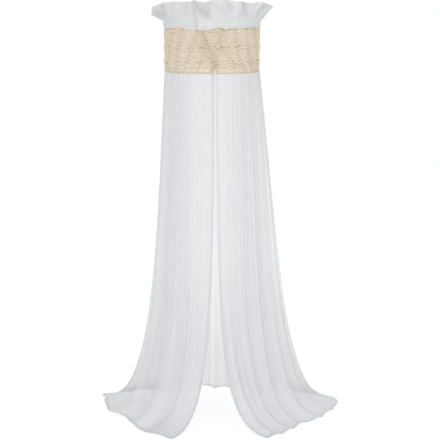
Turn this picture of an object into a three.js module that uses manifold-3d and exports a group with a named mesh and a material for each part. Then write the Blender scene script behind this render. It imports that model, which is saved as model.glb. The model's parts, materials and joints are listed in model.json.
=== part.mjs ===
import * as THREE from "three";
import { mergeVertices } from "three/addons/utils/BufferGeometryUtils.js";
import Module from "manifold-3d";

// A bed crown canopy: sheer curtains gathered on a hoop that a wall bracket holds out over a bed.
// Millimetres, +Z up, the front towards -Y. The origin is the middle of the wall plate's back face,
// level with the hoop. Left and right are as seen by someone who faces the wall.

// Driving dimensions of the hoop and of the cloth's outer sizes
const hoopHeight = 1385; // the hoop above the floor that the hem lies on
const hoopRadius = 162; // to the middle of the hoop's tube
const wallStandoff = 58; // from the wall to the middle of the tube at the back
const tubeRadius = 4;
const tubeWall = 1;
const frillHeight = 78; // at the front corner, where its upper edge is highest
const frillFlare = 47; // of the upper edge beyond the hoop's radius, at the widest lobe
const bandHeight = 148;
const bindingHeight = 5;
const cornerReach = 443; // from the hoop's axis to the left back corner of the hem
const fitGap = 0.3; // between pieces that touch

// Cloth thickness: the gathered layers of each strip are modelled as one
const drapeThickness = 1.6;
const frillThickness = 1.8;
const frillSeatShare = 0.34; // of its thickness, by which the leaning foot's outer corner dips
const bandThickness = 1.8;
const bindingThickness = 2.6;
const casingThickness = 1.9;

// Wall bracket
const plateWidth = 44;
const plateHeight = 84;
const plateThickness = 5;
const plateSkin = 1.4; // left behind the bolt's blind hole in the plate
const plateCorner = 9;
const wallScrewSpacing = 60;
const wallScrewRadius = 2.4;
const countersinkRadius = 4.8;
const countersinkDepth = 2.4;
const columnRadii = [13, 13, 10.4, 6, 4.6, 4.6, 6, 6]; // from the wall plate to the block
const columnShares = [0, 0.08, 0.13, 0.28, 0.5, 0.72, 0.88, 1]; // of its length, at each radius
const blockWidth = 46;
const blockDepth = 19;
const blockCorner = 4;
const boltRadius = 2;
const boltHeadRadius = 3.9;
const boltHeadHeight = 3.4;
const clampRadius = 1.5;
const clampHeadRadius = 2.7;
const clampHeadHeight = 2;
const clampInset = 14; // from the block's middle to each clamp screw
const screwTipShare = 0.8; // of a screw's radius, at its bevelled tip
const screwDomeShare = 0.25; // of a head's height, for its rounded rim
const screwSocketShare = 0.5; // of a head's radius, across the corners of its hexagon socket
const hoopEndWrap = 2.4; // degrees from the centre back to each end of the hoop

// How finely round things are cut
const tubeSides = 10;
const tubeStepWrap = 9;
const turnedSides = 20;
const hexagonSides = 6;
const cornerSegments = 5;
const leastStepWrap = 1;
const overrun = 3; // by which a cutter runs past what it cuts

// Sizes that follow from the driving ones
const ringSetback = hoopRadius + wallStandoff;
const boreRadius = tubeRadius + fitGap; // of whatever goes round the tube
const casingRadius = boreRadius + casingThickness;
const floorZ = -hoopHeight;
const frillFootZ = casingRadius + fitGap + frillThickness * frillSeatShare;
const bandTopZ = -casingRadius - fitGap;
const bindingTopZ = bandTopZ - bandHeight - fitGap;
const drapeTopZ = bindingTopZ - bindingHeight - fitGap;
const drapeFall = drapeTopZ - floorZ - drapeThickness;
const pinHalfWrap = tubeStepWrap; // of the hoop that the joining pin fills on each side
const degrees = Math.PI / 180;

// At the crown the right half's front edge lies outside the left one. The two edges slant towards
// each other down to the binding, and hang side by side below it.
const overlapLift = 11; // how far the right layer stands off the hoop's radius at the front
const apartShare = 0.5; // of the way down a drape, from where the right layer no longer stands off
const liftStartWrap = 118;
const liftEndWrap = 160;

// The cloth of one half runs from the centre back (wrap 0) round the side (90) to its front edge,
// which lies past the centre front (180) at the crown. Edge wraps are at the frill's top, the hoop,
// the band's foot, and on the floor. Hem shares are of cornerReach, each at its wrap. Fall and land
// shares place the two inner control points of a meridian between its top and its hem, across and
// forward, at the back, the side and the front edge. At the centre back the hem hangs clear of the
// floor by backHemRise. Rim tables give the frill's lobes at each of their wraps: how far its upper
// edge leans out, as a share of frillFlare, and how high it stands and how much it curls over, as
// shares of frillHeight. A lean slants a lobe by that many degrees.
const sideWrap = 90;
const frontWrap = 180;
const halves = {
  left: {
    side: -1,
    edgeTopWrap: 207,
    edgeHoopWrap: 203,
    edgeBandWrap: 183,
    edgeFloorWrap: 155.6,
    backHemRise: 22,
    hemWraps: [0, 44, 60, 69, 77, 90, 110, 131, 155.6],
    hemShares: [0.4, 0.56, 0.8, 1.005, 0.93, 0.87, 0.725, 0.75, 0.745],
    fallAcrossShares: [0.2, 0.175, 0.093],
    fallForwardShares: [0.2, 0.16, 0.05],
    landAcrossShares: [0.35, 0.22, 0.044],
    landForwardShares: [0.35, 0.3, 0.17],
    rearFoldCount: 4,
    frontFoldCount: 3,
    rimWraps: [0, 14, 28, 42, 56, 70, 84, 92, 98, 108, 116, 124, 132, 143, 151, 162, 175, 190, 207],
    rimOutShares: [
      0.55, 0.81, 0.51, 0.85, 0.51, 0.74, 0.85, 0.95, 0.94, 0.86, 0.66, 0.63, 0.43, 0.7, 0.32, 0.38,
      0.09, 0.09, 0.09,
    ],
    rimRiseShares: [
      0.87, 0.79, 0.9, 0.81, 0.88, 0.74, 0.44, 0.33, 0.58, 0.7, 0.79, 0.87, 0.87, 0.91, 0.88, 0.92,
      0.85, 0.81, 0.79,
    ],
    rimCurlShares: [
      0.03, 0.08, 0.03, 0.08, 0.03, 0.1, 0.06, 0.05, 0.16, 0.2, 0.1, 0.04, 0.03, 0.03, 0.01, 0, 0, 0,
      0,
    ],
    rimLeanWraps: [0, 0, 0, 0, 0, 0, 0, 0, 0, 0, 0, 0, 0, 0, 0, 0, 0, 0, 0],
  },
  right: {
    side: 1,
    edgeTopWrap: 199.2,
    edgeHoopWrap: 194.5,
    edgeBandWrap: 176,
    edgeFloorWrap: 147,
    backHemRise: 15,
    hemWraps: [0, 44, 61, 71, 82, 90, 101, 119, 137, 147],
    hemShares: [0.4, 0.56, 0.82, 1.005, 1.06, 1, 0.915, 0.79, 0.79, 0.79],
    fallAcrossShares: [0.2, 0.295, 0.064],
    fallForwardShares: [0.2, 0.28, 0.05],
    landAcrossShares: [0.35, 0.28, -0.02],
    landForwardShares: [0.35, 0.4, 0.17],
    rearFoldCount: 4,
    frontFoldCount: 5,
    rimWraps: [
      0, 14, 28, 42, 56, 68, 82, 96, 108, 118, 127, 138, 148, 159, 169, 178, 187, 194, 200,
    ],
    rimOutShares: [
      0.55, 0.81, 0.51, 0.85, 0.51, 0.77, 0.81, 0.94, 0.77, 0.53, 0.79, 0.51, 0.26, 0.62, 0.6, 0.47,
      0.09, 0.26, 0.43,
    ],
    rimRiseShares: [
      0.87, 0.79, 0.9, 0.81, 0.88, 0.82, 0.74, 0.65, 0.79, 0.87, 0.84, 0.83, 0.84, 0.9, 0.97, 0.99,
      0.87, 0.91, 1,
    ],
    rimCurlShares: [
      0.03, 0.08, 0.03, 0.08, 0.03, 0.06, 0.08, 0.08, 0.05, 0.03, 0.05, 0.03, 0.01, 0.01, 0, 0, 0,
      0, 0,
    ],
    rimLeanWraps: [0, 0, 0, 0, 0, 0, 0, 0, 2, 4, 8, 9, 8, 3, 0, 0, 0, 0, 0],
  },
};

// Folds and gathers
const foldHeight = 15; // of a drape's fold above the troughs beside it
const foldTopShare = 0.16; // of foldHeight, just under the band
const foldFullShare = 0.7; // of the way down a drape, where its folds reach foldHeight
const calmShare = 0.25; // of a fold or ripple that is left where the left layer lies under the right
const fallHeightShare = 0.33; // height of a meridian's first inner control point, of the fall
const foldLandingShare = 0.88; // of the way down, from where a fold sinks towards the floor
const foldHemShare = 0.45; // of foldHeight that is left at the hem
const backHemWrap = 50; // from the centre back to where the hem first meets the floor
const seamGap = 0.8; // between the two halves at the back, and at each flat side seam
const drapeColumnCount = 20; // in each rear and each front drape
const drapeRowCount = 16;
const frillColumnCount = 50;
const frillRowCount = 4;
const frillFlareShare = 0.85; // the power of the height by which a lobe leans out
const frillRollShare = 0.7; // of a lobe's curl, by which it also rolls outwards before it falls
const bandColumnCount = 24;
const bandTierCount = 3; // rows of gathers
const bandPuff = 1.6; // each tier bulges between its gathering threads

const wasm = await Module();
wasm.setup();

// Solids from meshes and back, for cuts and joins
function solidOf(geometry) {
  const bare = geometry.clone();
  bare.deleteAttribute("normal");
  bare.deleteAttribute("uv");
  const merged = mergeVertices(bare);
  return new wasm.Manifold(
    new wasm.Mesh({
      numProp: 3,
      vertProperties: new Float32Array(merged.attributes.position.array),
      triVerts: new Uint32Array(merged.index.array),
    }),
  );
}

function geometryOf(solid) {
  const { vertProperties, triVerts } = solid.getMesh();
  const geometry = new THREE.BufferGeometry();
  geometry.setAttribute("position", new THREE.BufferAttribute(vertProperties, 3));
  geometry.setIndex(new THREE.BufferAttribute(triVerts, 1));
  geometry.computeVertexNormals();
  return geometry;
}

function cut(body, ...cutters) {
  return geometryOf(cutters.reduce((left, cutter) => left.subtract(solidOf(cutter)), solidOf(body)));
}

// A closed geometry from points and faces of three or four corners. The faces turn round together
// if they enclose less than nothing, so that they always look outwards.
function closedGeometry(points, faces) {
  const triangles = faces.flatMap(([a, b, c, d]) =>
    d === undefined ? [[a, b, c]] : [[a, b, c], [a, c, d]],
  );
  const volume = triangles.reduce(
    (sum, [a, b, c]) => sum + points[a].dot(points[b].clone().cross(points[c])),
    0,
  );
  const outward = volume < 0 ? triangles.map(([a, b, c]) => [a, c, b]) : triangles;
  const geometry = new THREE.BufferGeometry().setFromPoints(points);
  geometry.setIndex(outward.flat());
  geometry.computeVertexNormals();
  return geometry;
}

// A place on the crown, about the hoop's axis
function around(side, wrap, radius, height) {
  const angle = wrap * degrees;
  return new THREE.Vector3(side * radius * Math.sin(angle), radius * Math.cos(angle), height);
}

function smoothStep(from, to, value) {
  return THREE.MathUtils.smoothstep(value, from, to);
}

// The value at a place between named stops, with a level start and end at each stop
function between(stops, values, place) {
  const next = Math.max(1, stops.findIndex((stop) => stop >= place));
  const share = smoothStep(stops[next - 1], stops[next], place);
  return THREE.MathUtils.lerp(values[next - 1], values[next], share);
}

// How far the outer front layer stands off, from none at the side to all of it past liftEndWrap
function layerLift(half, wrap) {
  return half.side > 0 ? overlapLift * smoothStep(liftStartWrap, liftEndWrap, wrap) : 0;
}

// Ripples of the inner front layer die down where the outer one covers it
function calm(half, wrap) {
  const covered = half.side < 0 ? smoothStep(liftStartWrap, liftEndWrap, wrap) : 0;
  return THREE.MathUtils.lerp(1, calmShare, covered);
}

// A tube or rod bent to the hoop, between two wraps of one half; bore 0 makes it solid
function hoopTube(side, startWrap, endWrap, radius, bore) {
  const inside = [];
  for (let wrap = tubeStepWrap; wrap < endWrap - leastStepWrap; wrap += tubeStepWrap)
    if (wrap > startWrap + leastStepWrap) inside.push(wrap);
  const wraps = [startWrap, ...inside, endWrap];
  const points = [];
  const faces = [];
  const ring = (wrap, size) => {
    const first = points.length;
    for (let k = 0; k < tubeSides; k++) {
      const turn = Math.PI / 2 + (2 * Math.PI * k) / tubeSides;
      points.push(around(side, wrap, hoopRadius + size * Math.cos(turn), size * Math.sin(turn)));
    }
    return first;
  };
  const join = (a, b, turned) => {
    for (let k = 0; k < tubeSides; k++) {
      const n = (k + 1) % tubeSides;
      faces.push(turned ? [a + k, a + n, b + n, b + k] : [a + k, b + k, b + n, a + n]);
    }
  };
  const outer = wraps.map((wrap) => ring(wrap, radius));
  for (let i = 1; i < outer.length; i++) join(outer[i - 1], outer[i], false);
  if (bore > 0) {
    const inner = wraps.map((wrap) => ring(wrap, bore));
    for (let i = 1; i < inner.length; i++) join(inner[i - 1], inner[i], true);
    join(outer[0], inner[0], true);
    join(outer.at(-1), inner.at(-1), false);
  } else {
    const middles = [points.length, points.length + 1];
    points.push(around(side, startWrap, hoopRadius, 0), around(side, endWrap, hoopRadius, 0));
    for (let k = 0; k < tubeSides; k++) {
      const n = (k + 1) % tubeSides;
      faces.push([middles[0], outer[0] + k, outer[0] + n]);
      faces.push([middles[1], outer.at(-1) + n, outer.at(-1) + k]);
    }
  }
  return closedGeometry(points, faces);
}

// Unit normals of a grid of points, rows of equal length, all to the same side
function gridNormals(grid) {
  return grid.map((row, j) =>
    row.map((_, i) => {
      const along = row[Math.min(i + 1, row.length - 1)].clone().sub(row[Math.max(i - 1, 0)]);
      const down = grid[Math.min(j + 1, grid.length - 1)][i]
        .clone()
        .sub(grid[Math.max(j - 1, 0)][i]);
      return along.cross(down).normalize();
    }),
  );
}

// The grid of a sheet, from a function of the shares along it and down it
function sheetGrid(columns, rows, placeAt) {
  return Array.from({ length: rows + 1 }, (_, j) =>
    Array.from({ length: columns + 1 }, (_, i) => placeAt(i / columns, j / rows)),
  );
}

// A cloth of even thickness over some columns of a grid
function clothSolid(grid, thickness, firstColumn = 0, lastColumn = grid[0].length - 1) {
  const normals = gridNormals(grid);
  const width = lastColumn - firstColumn + 1;
  const height = grid.length;
  const points = [];
  const faces = [];
  for (const face of [1, -1])
    grid.forEach((row, j) => {
      for (let i = firstColumn; i <= lastColumn; i++)
        points.push(row[i].clone().addScaledVector(normals[j][i], (face * thickness) / 2));
    });
  const at = (i, j, back) => back * width * height + j * width + i;
  for (let j = 1; j < height; j++)
    for (let i = 1; i < width; i++) {
      faces.push([at(i - 1, j - 1, 0), at(i, j - 1, 0), at(i, j, 0), at(i - 1, j, 0)]);
      faces.push([at(i - 1, j - 1, 1), at(i - 1, j, 1), at(i, j, 1), at(i, j - 1, 1)]);
    }
  const wall = (i, j, m, n) => faces.push([at(i, j, 0), at(i, j, 1), at(m, n, 1), at(m, n, 0)]);
  for (let i = 1; i < width; i++) {
    wall(i - 1, 0, i, 0);
    wall(i, height - 1, i - 1, height - 1);
  }
  for (let j = 1; j < height; j++) {
    wall(0, j, 0, j - 1);
    wall(width - 1, j - 1, width - 1, j);
  }
  return closedGeometry(points, faces);
}

// A strip of one half's cloth, which ends half a seam gap from the centre back
function stripSolid(half, grid, thickness) {
  return clothSolid(grid, thickness).translate((half.side * seamGap) / 2, 0, 0);
}

// Frill: the gathered heading above the hoop, which opens in uneven lobes to its upper edge
function frill(half) {
  const grid = sheetGrid(frillColumnCount, frillRowCount, (along, down) => {
    const rise = 1 - down;
    const wrap = along * THREE.MathUtils.lerp(half.edgeHoopWrap, half.edgeTopWrap, rise);
    const leant = wrap + rise * between(half.rimWraps, half.rimLeanWraps, wrap);
    const place = Math.min(leant, half.rimWraps.at(-1));
    const [out, up, curl] = [half.rimOutShares, half.rimRiseShares, half.rimCurlShares].map(
      (shares) => between(half.rimWraps, shares, place),
    );
    const arch = curl * Math.sin(Math.PI * rise);
    const flare = frillFlare * out * (rise ** frillFlareShare + frillRollShare * arch);
    const radius = hoopRadius + layerLift(half, wrap) + flare;
    const height = frillHeight * (up * rise + arch);
    return around(half.side, wrap, radius, frillFootZ + height);
  });
  return stripSolid(half, grid, frillThickness);
}

// Band: a crinkled strip, gathered in tiers, that hangs below the hoop
function band(half) {
  const rows = 2 * bandTierCount;
  const grid = sheetGrid(bandColumnCount, rows, (along, down) => {
    const edge = THREE.MathUtils.lerp(half.edgeHoopWrap, half.edgeBandWrap, down);
    const wrap = along * edge;
    const puff = bandPuff * Math.abs(Math.sin(Math.PI * bandTierCount * down));
    const radius = hoopRadius + puff + layerLift(half, wrap);
    return around(half.side, wrap, radius, bandTopZ - bandHeight * down);
  });
  return stripSolid(half, grid, bandThickness);
}

// Binding: the narrow tape that closes the band's foot
function binding(half) {
  const grid = sheetGrid(bandColumnCount, 1, (along, down) => {
    const wrap = along * half.edgeBandWrap;
    const radius = hoopRadius + layerLift(half, wrap);
    return around(half.side, wrap, radius, bindingTopZ - bindingHeight * down);
  });
  return stripSolid(half, grid, bindingThickness);
}

// One half's drape without folds: each meridian is a curve that falls from the binding, bends
// near the floor and runs out along it to the hem.
function drapeMeridian(half, along, down) {
  const front = along > 0.5;
  const share = front ? 2 * along - 1 : 2 * along;
  const topWrap = front
    ? THREE.MathUtils.lerp(sideWrap, half.edgeBandWrap, share)
    : sideWrap * share;
  const hemWrap = front
    ? THREE.MathUtils.lerp(sideWrap, half.edgeFloorWrap, share)
    : sideWrap * share;
  const lift = layerLift(half, topWrap) * (1 - smoothStep(0, apartShare, down));
  const reach = cornerReach * between(half.hemWraps, half.hemShares, hemWrap);
  const top = around(half.side, topWrap, hoopRadius + lift, 0);
  const hem = around(half.side, hemWrap, reach, 0);
  const stops = [0, sideWrap, half.edgeBandWrap];
  const inner = (across, forward, height) =>
    new THREE.Vector3(
      THREE.MathUtils.lerp(top.x, hem.x, between(stops, across, topWrap)),
      THREE.MathUtils.lerp(top.y, hem.y, between(stops, forward, topWrap)),
      height,
    );
  const rise = half.backHemRise * (1 - smoothStep(0, backHemWrap, hemWrap));
  const floor = floorZ + drapeThickness + rise;
  const fall = inner(half.fallAcrossShares, half.fallForwardShares, floor + drapeFall * fallHeightShare);
  const land = inner(half.landAcrossShares, half.landForwardShares, floor);
  top.z = drapeTopZ;
  hem.z = floor;
  return new THREE.CubicBezierCurve3(top, fall, land, hem).getPoint(down);
}

// The folded drape of one half, from the centre back to the front edge. Folds only stand out from
// the plain surface, so none reaches below the floor, and there is none at the side seam.
function drapeGrid(half) {
  const plain = sheetGrid(2 * drapeColumnCount, drapeRowCount, (along, down) =>
    drapeMeridian(half, along, down),
  );
  const normals = gridNormals(plain);
  return plain.map((row, j) =>
    row.map((place, i) => {
      const down = j / drapeRowCount;
      const share = (i % drapeColumnCount) / drapeColumnCount;
      const front = i >= drapeColumnCount;
      const folds = front ? half.frontFoldCount : half.rearFoldCount;
      const wave = 0.5 - 0.5 * Math.cos(2 * Math.PI * folds * share);
      const wrap = i === 2 * drapeColumnCount ? half.edgeBandWrap : sideWrap * (front ? 1 + share : share);
      const apart = smoothStep(0, apartShare, down);
      const quiet = THREE.MathUtils.lerp(calm(half, wrap), 1, apart);
      const growth = THREE.MathUtils.lerp(foldTopShare, 1, smoothStep(0, foldFullShare, down));
      const landed = THREE.MathUtils.lerp(1, foldHemShare, smoothStep(foldLandingShare, 1, down));
      const height = foldHeight * wave * growth * landed * quiet;
      return place.clone().addScaledVector(normals[j][i], half.side * height);
    }),
  );
}

function drapes(half) {
  const grid = drapeGrid(half);
  const rear = clothSolid(grid, drapeThickness, 0, drapeColumnCount);
  const front = clothSolid(grid, drapeThickness, drapeColumnCount, 2 * drapeColumnCount);
  rear.translate((half.side * seamGap) / 2, seamGap / 2, 0);
  front.translate((half.side * seamGap) / 2, -seamGap / 2, 0);
  return { rear, front };
}

// A turned piece along -Y, from its back end at y 0: profile pairs are radius and distance forward
function turned(profile) {
  const points = profile.map(([radius, forward]) => new THREE.Vector2(radius, forward));
  const geometry = new THREE.LatheGeometry(points, turnedSides);
  return geometry.rotateX(Math.PI);
}

// A plain round cutter along Y, from one place to another
function roundCutter(radius, fromY, toY, x = 0, z = 0) {
  const cutter = new THREE.CylinderGeometry(radius, radius, Math.abs(toY - fromY), turnedSides);
  return cutter.translate(x, (fromY + toY) / 2, z);
}

// A plate or block with round corners, seen from the front, from its back face forwards
function roundedBlock(width, height, depth, corner) {
  const outline = new THREE.Shape();
  const [x, y] = [width / 2, height / 2];
  outline.moveTo(corner - x, -y);
  outline.lineTo(x - corner, -y);
  outline.absarc(x - corner, corner - y, corner, -Math.PI / 2, 0, false);
  outline.lineTo(x, y - corner);
  outline.absarc(x - corner, y - corner, corner, 0, Math.PI / 2, false);
  outline.lineTo(corner - x, y);
  outline.absarc(corner - x, y - corner, corner, Math.PI / 2, Math.PI, false);
  outline.lineTo(-x, corner - y);
  outline.absarc(corner - x, corner - y, corner, Math.PI, 1.5 * Math.PI, false);
  const block = new THREE.ExtrudeGeometry(outline, {
    depth,
    bevelEnabled: false,
    curveSegments: cornerSegments,
  });
  return block.rotateX(Math.PI / 2);
}

// Places along Y of the bracket's parts, measured from the wall
const blockBackY = -wallStandoff + blockDepth / 2;
const blockFrontY = blockBackY - blockDepth;
const columnBackY = -plateThickness - fitGap;
const columnLength = columnBackY - blockBackY - fitGap;
const boltEndY = -plateSkin - fitGap;

// Wall plate: two countersunk holes for the wall screws and a blind hole that takes the bolt's end
function wallPlate() {
  const plate = roundedBlock(plateWidth, plateHeight, plateThickness, plateCorner);
  const cutters = [roundCutter(boltRadius + fitGap, -plateSkin, -plateThickness - overrun)];
  for (const z of [-wallScrewSpacing / 2, wallScrewSpacing / 2]) {
    cutters.push(roundCutter(wallScrewRadius, overrun, -plateThickness - overrun, 0, z));
    const deep = countersinkDepth + overrun;
    const slope = (countersinkRadius - wallScrewRadius) / countersinkDepth;
    const sink = new THREE.CylinderGeometry(
      wallScrewRadius,
      countersinkRadius + slope * overrun,
      deep,
      turnedSides,
    );
    cutters.push(sink.translate(0, -plateThickness - overrun + deep / 2, z));
  }
  return cut(plate, ...cutters);
}

// Column: a turned spacer between the wall plate and the hoop block, bored for the bolt
function column() {
  const bore = boltRadius + fitGap;
  const outside = columnRadii.map((radius, i) => [radius, columnLength * columnShares[i]]);
  const profile = [[bore, 0], ...outside, [bore, columnLength], [bore, 0]];
  return turned(profile).translate(0, columnBackY, 0);
}

// Hoop block: two curved sockets take the hoop's ends, with a screw behind each to hold it
function hoopBlock() {
  const height = 2 * casingRadius;
  const block = roundedBlock(blockWidth, height, blockDepth, blockCorner);
  block.translate(0, blockBackY, 0);
  const socketEnd = Math.asin(blockWidth / 2 / hoopRadius) / degrees + tubeStepWrap;
  const stopGap = (2 * fitGap) / (hoopRadius * degrees);
  const sockets = [-1, 1].map((side) =>
    hoopTube(side, hoopEndWrap - stopGap, socketEnd, boreRadius, 0).translate(0, -ringSetback, 0),
  );
  const bolt = roundCutter(boltRadius + fitGap, blockBackY + overrun, blockFrontY - overrun);
  const clamps = [-clampInset, clampInset].map((x) =>
    roundCutter(clampRadius + fitGap, -wallStandoff, blockFrontY - overrun, x, 0),
  );
  return cut(block, ...sockets, bolt, ...clamps);
}

// A cap screw along Y: a domed head with a hexagon socket, its shank pointing back at the wall
function capScrew(headRadius, headHeight, radius, length) {
  const dome = headHeight * screwDomeShare;
  const tip = radius * screwTipShare;
  const body = turned([
    [0, 0],
    [tip, 0],
    [radius, radius - tip],
    [radius, length],
    [headRadius, length],
    [headRadius, length + headHeight - dome],
    [headRadius - dome, length + headHeight],
    [0, length + headHeight],
  ]);
  const across = headRadius * screwSocketShare;
  const socket = new THREE.CylinderGeometry(across, across, headHeight, hexagonSides);
  return cut(body, socket.translate(0, -length - headHeight, 0));
}

function centreBolt() {
  const length = boltEndY - blockFrontY + fitGap;
  return capScrew(boltHeadRadius, boltHeadHeight, boltRadius, length).translate(0, boltEndY, 0);
}

// Each clamp screw stops just short of the tube that it holds.
function clampScrew(x) {
  const angle = Math.asin(x / hoopRadius);
  const tubeFrontY = -ringSetback + hoopRadius * Math.cos(angle) - boreRadius;
  const length = tubeFrontY - blockFrontY + fitGap;
  const screw = capScrew(clampHeadRadius, clampHeadHeight, clampRadius, length);
  return screw.translate(x, tubeFrontY, 0);
}

// The pin that joins the two halves of the hoop lies inside both tubes at the centre front.
function hoopPin() {
  const radius = tubeRadius - tubeWall - fitGap;
  return hoopTube(1, frontWrap - pinHalfWrap, frontWrap + pinHalfWrap, radius, 0);
}

// Finishes
const finishes = {
  voile: { color: 0xe9e9ea, roughness: 0.9, metalness: 0 },
  header: { color: 0xe2e2e4, roughness: 0.9, metalness: 0 },
  crinkle: { color: 0xdecdb4, roughness: 0.85, metalness: 0 },
  tape: { color: 0xc39a68, roughness: 0.8, metalness: 0 },
  steel: { color: 0xc4c7ca, roughness: 0.35, metalness: 0.9 },
  enamel: { color: 0xf2f1ee, roughness: 0.4, metalness: 0.1 },
  moulded: { color: 0xe9e8e4, roughness: 0.55, metalness: 0 },
};

function piece(group, name, geometry, finish) {
  const mesh = new THREE.Mesh(geometry, new THREE.MeshStandardMaterial(finishes[finish]));
  mesh.name = name;
  group.add(mesh);
}

const canopy = new THREE.Group();

const bracket = new THREE.Group();
canopy.add(bracket);
piece(bracket, "wall_plate", wallPlate(), "enamel");
piece(bracket, "bracket_column", column(), "enamel");
piece(bracket, "hoop_block", hoopBlock(), "moulded");
piece(bracket, "centre_bolt", centreBolt(), "steel");
piece(bracket, "clamp_screw_left", clampScrew(-clampInset), "steel");
piece(bracket, "clamp_screw_right", clampScrew(clampInset), "steel");

// Everything that goes round the hoop is built about the hoop's axis.
const ring = new THREE.Group();
ring.position.y = -ringSetback;
canopy.add(ring);
piece(ring, "hoop_pin", hoopPin(), "steel");

const meetingWrap = frontWrap - fitGap / 2 / (hoopRadius * degrees);
const casingStartX = blockWidth / 2 + fitGap;
const casingStartWrap = Math.asin(casingStartX / (hoopRadius - casingRadius)) / degrees;
for (const [name, half] of Object.entries(halves)) {
  const { side } = half;
  const hoop = hoopTube(side, hoopEndWrap, meetingWrap, tubeRadius, tubeRadius - tubeWall);
  const casing = hoopTube(side, casingStartWrap, meetingWrap, casingRadius, boreRadius);
  const { rear, front } = drapes(half);
  piece(ring, "hoop_" + name, hoop, "steel");
  piece(ring, "casing_" + name, casing, "header");
  piece(ring, "frill_" + name, frill(half), "header");
  piece(ring, "band_" + name, band(half), "crinkle");
  piece(ring, "band_binding_" + name, binding(half), "tape");
  piece(ring, "rear_drape_" + name, rear, "voile");
  piece(ring, "front_drape_" + name, front, "voile");
}

export default canopy;
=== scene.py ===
# %% [markdown]
# A bed crown canopy: two sheer curtains gathered on a small hoop that a wall bracket holds out over
# the head of a bed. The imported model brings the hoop, the bracket and plain solids for the cloth.
# Everything here is in metres and in that model's frame: X to the right, Y into the wall, Z up.

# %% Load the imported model
import json
import math

import bmesh
import bpy
import numpy as np
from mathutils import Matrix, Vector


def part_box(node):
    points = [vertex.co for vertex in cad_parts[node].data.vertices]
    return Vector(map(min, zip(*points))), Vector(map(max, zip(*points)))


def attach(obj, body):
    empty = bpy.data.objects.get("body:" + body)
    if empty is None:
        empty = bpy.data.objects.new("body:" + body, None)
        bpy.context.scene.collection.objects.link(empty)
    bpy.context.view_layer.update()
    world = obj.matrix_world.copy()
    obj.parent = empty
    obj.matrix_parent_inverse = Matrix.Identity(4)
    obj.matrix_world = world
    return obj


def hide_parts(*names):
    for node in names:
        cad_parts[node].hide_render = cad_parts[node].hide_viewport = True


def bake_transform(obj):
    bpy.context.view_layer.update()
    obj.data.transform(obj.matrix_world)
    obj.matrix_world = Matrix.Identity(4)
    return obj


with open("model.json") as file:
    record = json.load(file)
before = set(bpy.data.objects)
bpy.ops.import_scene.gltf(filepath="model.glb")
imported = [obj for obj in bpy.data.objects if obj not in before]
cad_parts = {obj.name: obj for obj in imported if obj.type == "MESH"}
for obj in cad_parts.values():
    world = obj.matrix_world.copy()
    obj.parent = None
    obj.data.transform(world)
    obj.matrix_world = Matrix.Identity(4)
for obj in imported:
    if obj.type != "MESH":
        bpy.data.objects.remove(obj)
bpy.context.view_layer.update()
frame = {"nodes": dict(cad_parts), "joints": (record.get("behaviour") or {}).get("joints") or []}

# %% [markdown]
# The camera comes first, because every comparison with the photograph needs it. It was found from
# the hem, which lies on the floor, and from the round hoop: four metres away, a little above the
# hoop and tilted down by less than eleven degrees. The view's width then follows from the lens.

# %% Camera
PHOTO_PIXELS = 440
LENS_PIXELS = 1148.3  # the distance at which one metre covers this many pixels
CAMERA_DISTANCE = 4.0  # from the hoop's axis
CAMERA_HEIGHT = 1.45  # above the floor
CAMERA_ASIDE = 0.0275
CAMERA_TILT = 0.185

ring_y = frame["joints"][0]["pos_m"][1]
floor_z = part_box("front_drape_left")[0].z - 0.0008
camera_data = bpy.data.cameras.new("camera")
camera_data.angle = 2 * math.atan(PHOTO_PIXELS / 2 / LENS_PIXELS)
camera = bpy.data.objects.new("camera", camera_data)
camera.location = (CAMERA_ASIDE, ring_y - CAMERA_DISTANCE, floor_z + CAMERA_HEIGHT)
camera.rotation_euler = (math.pi / 2 - CAMERA_TILT, 0, 0)
bpy.context.scene.collection.objects.link(camera)
bpy.context.scene.camera = camera
print("camera at", [round(v, 3) for v in camera.location], "floor at", round(floor_z, 4))

# %% [markdown]
# Sizes that the cloth hangs from are read off the solids: the hoop's radius, the heights of the
# frill, the band, its binding and the drapes. So the cloth stays where its solids are.

# %% Sizes from the frame
hoop_low, hoop_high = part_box("hoop_right")
TUBE_RADIUS = (hoop_high.z - hoop_low.z) / 2
FLAT_TURN = math.radians(18)  # the outermost edges of the ten-sided tube lie this far off level
HOOP_RADIUS = hoop_high.x - TUBE_RADIUS * math.cos(FLAT_TURN)
CASING_RADIUS = (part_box("casing_left")[1].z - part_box("casing_left")[0].z) / 2
BAND_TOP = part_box("band_left")[1].z
BAND_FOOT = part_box("band_left")[0].z
BINDING_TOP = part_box("band_binding_left")[1].z
BINDING_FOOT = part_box("band_binding_left")[0].z
DRAPE_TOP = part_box("front_drape_left")[1].z
FRILL_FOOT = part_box("frill_left")[0].z
SEAM_GAP = 0.0002  # between the two halves at the centre back
CORNER_REACH = 0.443  # from the hoop's axis to a hem's share of 1
OVERLAP_LIFT = 0.011  # of the outer front layer off the hoop's radius
OVERLAP_WRAPS = (118, 160)  # degrees, over which the outer layer comes away from the inner one
APART_SHARE = 0.5  # of the way down, where the fronts no longer lie over each other
FALL_SHARE = 0.33  # of the drape's height, where its curve starts to bend outwards
BACK_HEM_WRAP = 50  # degrees from the centre back, over which the hem comes down to the floor
SIDE_WRAP = 90  # degrees, where the rear drape ends and the front one starts
UNDER_LAYER_SHARE = 0.25  # of its folds that the left layer keeps under the right one
print("hoop radius", round(HOOP_RADIUS, 4), "drapes hang from", round(DRAPE_TOP, 4))

# %% [markdown]
# Each half of the cloth runs from the centre back, round its side, to its front edge. A place on it
# is a pair of shares: along, from the back (0) to the front edge (1), and down. The wrap is the
# angle round the hoop: 0 at the centre back, 90 at the side and 180 at the centre front.

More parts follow.
